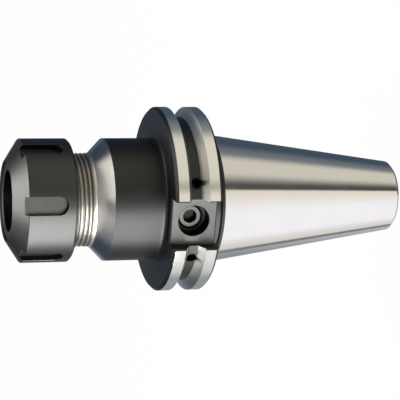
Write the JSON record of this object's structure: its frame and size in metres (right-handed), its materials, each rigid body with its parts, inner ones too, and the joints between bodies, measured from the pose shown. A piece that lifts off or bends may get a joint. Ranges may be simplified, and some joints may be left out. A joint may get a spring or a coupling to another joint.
{
  "type": "collet chuck holder",
  "caption": "Steep-taper tool holder with a V-groove flange, two drive slots, a socket for a spring collet and a slotted clamping nut that screws on over it.",
  "frame": {"origin": "centre of the gauge plane, where the taper is 44.45 mm across", "axes": "+Z along the axis towards the clamping nut, -Y through the middle of the drive slot whose floor is 25 mm from the axis"},
  "size_m": [0.0636, 0.0612, 0.1384],
  "materials": {
    "ground_steel": "ground bright on the taper and rims, blackened on the body, the flange faces and the groove",
    "plug_steel": "plain hardened set screw",
    "black_nut_steel": "black oxide, satin",
    "ring_steel": "black oxide outside, ground seat",
    "spring_wire": "drawn spring wire"
  },
  "bodies": {
    "holder": {"holder_body": "ground_steel", "coolant_plugs": "plug_steel"},
    "ring": {"collet_ring": "ring_steel"},
    "nut": {"clamping_nut": "black_nut_steel", "retaining_wire": "spring_wire"}
  },
  "joints": [
    {"name": "nut_advance", "type": "slide", "parent": "holder", "child": "ring", "axis": [0, 0, 1], "range_m": [-0.002, 0.0105]},
    {"name": "nut_turn", "type": "hinge", "parent": "ring", "child": "nut", "pos_m": [0, 0, 0.06], "axis": [0, 0, 1], "range_deg": [-480, 2520]}
  ],
  "couplings": [
    {"joint": "nut_advance", "follows": "nut_turn", "m_per_rad": 0.00023873}
  ]
}
